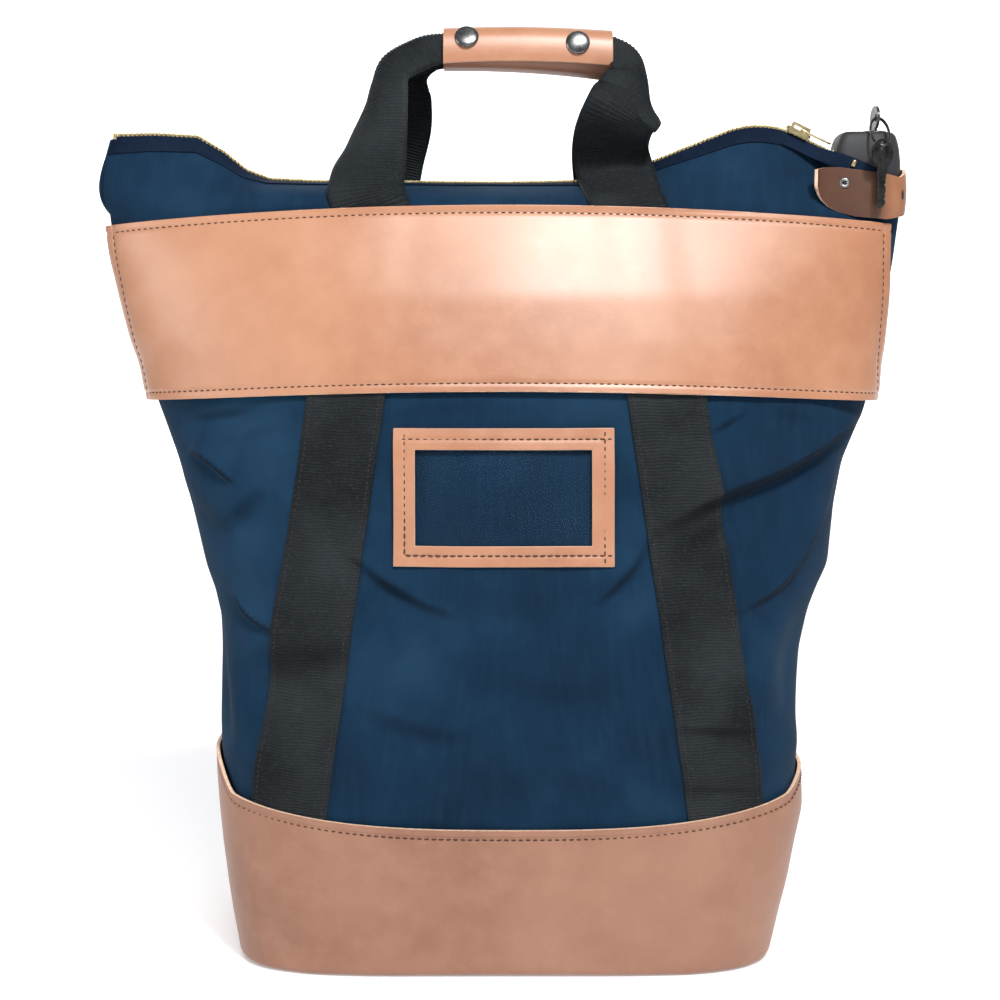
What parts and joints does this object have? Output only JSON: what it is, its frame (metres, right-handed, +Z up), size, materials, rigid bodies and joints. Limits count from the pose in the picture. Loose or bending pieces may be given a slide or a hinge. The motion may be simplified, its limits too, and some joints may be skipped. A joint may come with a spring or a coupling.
{
  "type": "cash deposit bag",
  "caption": "Tall zipped canvas bag for carrying cash, with leather band and boot, webbing handle with a grip that snaps shut, card window and key lock that holds the zip pull.",
  "frame": {"origin": "centre of the base on the surface that the bag stands on", "axes": "+X to the right as seen from the front, -Y out of the front, +Z up"},
  "size_m": [0.54, 0.2166, 0.6168],
  "materials": {
    "navy_canvas": "plain weave duck, matt with a soft sheen",
    "saddle_leather": "smooth, polished",
    "wrap_leather": "smooth, satin",
    "black_webbing": "ribbed, matt",
    "zip_tape": "twill, matt",
    "brass": "polished",
    "clear_vinyl": "glossy, soft",
    "gunmetal": "dark polished",
    "lock_black": "satin",
    "key_steel": "worn",
    "zinc": "satin",
    "board": "matt"
  },
  "bodies": {
    "bag": {"front_panel": "navy_canvas", "back_panel": "navy_canvas", "front_mouth_hem": "navy_canvas", "back_mouth_hem": "navy_canvas", "base_panel": "navy_canvas", "base_board": "board", "base_sole": "wrap_leather", "base_wrap_front": "wrap_leather", "base_wrap_back": "wrap_leather", "front_band": "saddle_leather", "back_band": "saddle_leather", "front_strap_left": "black_webbing", "front_strap_right": "black_webbing", "back_strap_left": "black_webbing", "back_strap_right": "black_webbing", "web_legs_front": "black_webbing", "web_legs_back": "black_webbing", "id_frame": "saddle_leather", "id_window": "clear_vinyl", "zip_tape_front": "zip_tape", "zip_tape_back": "zip_tape", "zip_teeth_front": "brass", "zip_teeth_back": "brass", "zip_end_stops": "brass", "lock_housing": "lock_black", "lock_cup": "saddle_leather", "cup_rivets": "zinc"},
    "handle": {"handle_web_front": "black_webbing", "handle_web_back": "black_webbing", "grip_sleeve": "saddle_leather", "snap_studs": "zinc"},
    "grip_flap": {"grip_flap": "saddle_leather", "snap_caps": "gunmetal", "snap_sockets": "zinc"},
    "zip_slider": {"zip_slider": "brass"},
    "zip_pull": {"zip_pull": "brass"},
    "lock_barrel": {"lock_barrel": "zinc"},
    "lock_plug": {"lock_plug": "zinc"},
    "key_in_lock": {"key_in_lock": "key_steel"},
    "key_ring": {"key_ring": "key_steel"},
    "spare_key": {"spare_key": "key_steel"}
  },
  "joints": [
    {"name": "handle_tilt", "type": "hinge", "parent": "bag", "child": "handle", "pos_m": [0, 0, 0.53], "axis": [1, 0, 0], "range_deg": [-55, 55], "deforming": ["web_legs_front", "web_legs_back"]},
    {"name": "grip_flap_open", "type": "hinge", "parent": "handle", "child": "grip_flap", "pos_m": [0.0135, 0.0128, 0.6146], "axis": [-1, 0, 0], "range_deg": [0, 110]},
    {"name": "zip_run", "type": "hinge", "parent": "bag", "child": "zip_slider", "pos_m": [0.168, 0, 0.4924], "axis": [0, 1, 0], "range_deg": [-42, 0]},
    {"name": "pull_swing", "type": "hinge", "parent": "zip_slider", "child": "zip_pull", "pos_m": [0.19812, 0, 0.55116], "axis": [0, -1, 0], "range_deg": [0, 120]},
    {"name": "lock_pop", "type": "slide", "parent": "bag", "child": "lock_barrel", "axis": [0, 0, 1], "range_m": [0, 0.006]},
    {"name": "key_turn", "type": "hinge", "parent": "lock_barrel", "child": "lock_plug", "pos_m": [0.246, 0, 0.53], "axis": [0, 0, 1], "range_deg": [0, 90]},
    {"name": "key_pull", "type": "slide", "parent": "lock_plug", "child": "key_in_lock", "axis": [0, 0, 1], "range_m": [0, 0.026]},
    {"name": "ring_swing", "type": "hinge", "parent": "key_in_lock", "child": "key_ring", "pos_m": [0.246, -0.01, 0.558], "axis": [-1, 0, 0], "range_deg": [0, 60]},
    {"name": "spare_key_swing", "type": "hinge", "parent": "key_ring", "child": "spare_key", "pos_m": [0.246, -0.028, 0.53787], "axis": [-1, 0, 0], "range_deg": [0, 60]}
  ]
}
